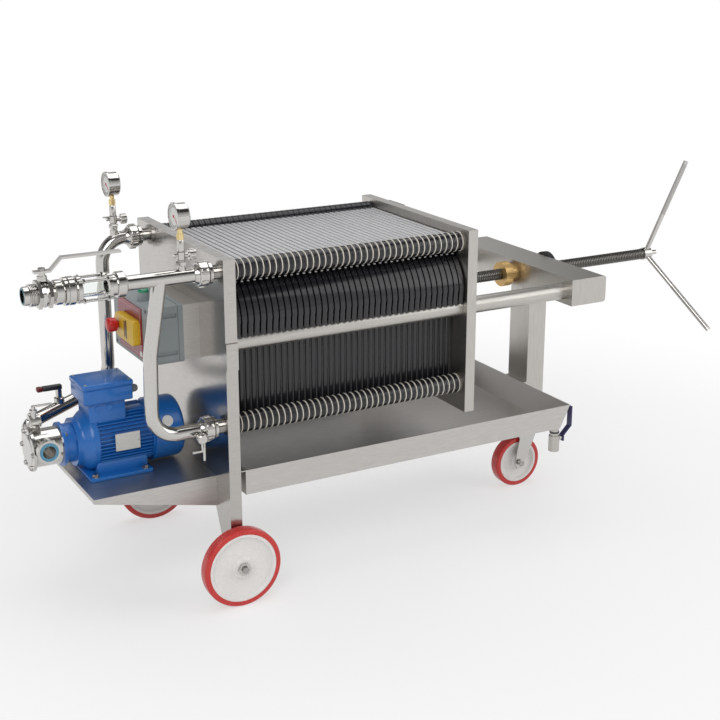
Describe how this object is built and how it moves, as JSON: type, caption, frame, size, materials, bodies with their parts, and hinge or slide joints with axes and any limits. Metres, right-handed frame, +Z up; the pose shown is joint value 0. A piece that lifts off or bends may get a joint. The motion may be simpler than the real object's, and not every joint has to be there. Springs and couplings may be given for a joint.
{
  "type": "plate filter press",
  "caption": "Plate filter press on two wheels and a swivel caster: a screw clamps a pack of square plates; motor pump, pipes, sight glass, gauges and a switch box at one end.",
  "frame": {"origin": "on the floor, under the middle of the whole press's bounding box", "axes": "+X along the screw from the pump end to the handle, +Y across to the far side, +Z up"},
  "size_m": [2.0073, 0.6366, 0.9875],
  "materials": {
    "polished_steel": "polished",
    "frame_steel": "satin",
    "sheet_steel": "satin",
    "bright_steel": "polished",
    "bronze": "satin",
    "brass_fitting": "satin",
    "dark_flange": "satin",
    "plate_plastic": "satin",
    "filter_cloth": "matte",
    "glass": "gloss",
    "gauge_case": "polished",
    "box_grey": "satin",
    "panel_red": "satin",
    "yellow": "satin",
    "red": "gloss",
    "green": "gloss",
    "motor_paint": "satin",
    "blue_paint": "satin",
    "terminal_blue": "satin",
    "wheel_white": "satin",
    "tread_red": "satin",
    "lever_blue": "gloss"
  },
  "bodies": {
    "press": {"head_plate": "polished_steel", "tie_bars": "bright_steel", "crossbeam": "frame_steel", "rear_post": "frame_steel", "drip_tray": "sheet_steel", "drain_valve": "frame_steel", "pump_shelf": "sheet_steel", "stub_axles": "frame_steel", "caster_mount": "frame_steel", "filter_plates": "plate_plastic", "filter_sheets": "filter_cloth", "screw_nut": "bronze", "nut_flange": "dark_flange", "outlet_pipe": "bright_steel", "feed_pipe": "bright_steel", "pipe_unions": "bright_steel", "sight_frame": "bright_steel", "sight_glass": "glass", "outlet_valve": "bright_steel", "sample_cocks": "bright_steel", "gauge_stems": "brass_fitting", "gauge_cases": "gauge_case", "control_box": "box_grey", "box_bracket": "sheet_steel", "switch_plate": "panel_red", "switch_cover": "yellow", "lamp_boss": "box_grey", "start_lamp": "green", "fan_cover": "motor_paint", "motor_housing": "motor_paint", "motor_flange": "blue_paint", "terminal_box": "terminal_blue", "pump_body": "bright_steel", "pump_cover": "bright_steel"},
    "movable": {"movable_plate": "polished_steel"},
    "screw": {"screw": "bright_steel", "handle": "bright_steel"},
    "wheel_near": {"wheel_core_near": "wheel_white", "wheel_tread_near": "tread_red"},
    "wheel_far": {"wheel_core_far": "wheel_white", "wheel_tread_far": "tread_red"},
    "caster_fork": {"caster_fork": "frame_steel"},
    "caster_wheel": {"caster_core": "wheel_white", "caster_tread": "tread_red"},
    "outlet_lever": {"outlet_lever": "frame_steel"},
    "drain_lever": {"drain_lever": "lever_blue"},
    "stop_button": {"stop_button": "red"}
  },
  "joints": [
    {"name": "plate_slide", "type": "slide", "parent": "press", "child": "movable", "axis": [1, 0, 0], "range_m": [0, 0.22]},
    {"name": "screw_turn", "type": "hinge", "parent": "movable", "child": "screw", "pos_m": [0, 0, 0.646], "axis": [1, 0, 0], "range_deg": [0, 13190]},
    {"name": "wheel_near_roll", "type": "hinge", "parent": "press", "child": "wheel_near", "pos_m": [-0.54165, -0.275, 0.1], "axis": [0, 1, 0], "continuous": true},
    {"name": "wheel_far_roll", "type": "hinge", "parent": "press", "child": "wheel_far", "pos_m": [-0.54165, 0.275, 0.1], "axis": [0, 1, 0], "continuous": true},
    {"name": "caster_swivel", "type": "hinge", "parent": "press", "child": "caster_fork", "pos_m": [0.50035, 0, 0.159], "axis": [0, 0, 1], "continuous": true},
    {"name": "caster_roll", "type": "hinge", "parent": "caster_fork", "child": "caster_wheel", "pos_m": [0.47335, 0, 0.075], "axis": [0, 1, 0], "continuous": true},
    {"name": "outlet_valve_turn", "type": "hinge", "parent": "press", "child": "outlet_lever", "pos_m": [-0.95815, -0.227, 0.864], "axis": [0, 0, -1], "range_deg": [0, 90]},
    {"name": "drain_valve_turn", "type": "hinge", "parent": "press", "child": "drain_lever", "pos_m": [0.42335, -0.246, 0.232], "axis": [-1, 0, 0], "range_deg": [0, 90]},
    {"name": "stop_press", "type": "slide", "parent": "press", "child": "stop_button", "axis": [1, 0, 0], "range_m": [0, 0.004], "stiffness_N_per_m": 400}
  ],
  "couplings": [
    {"joint": "plate_slide", "follows": "screw_turn", "m_per_rad": 0.00095493}
  ]
}
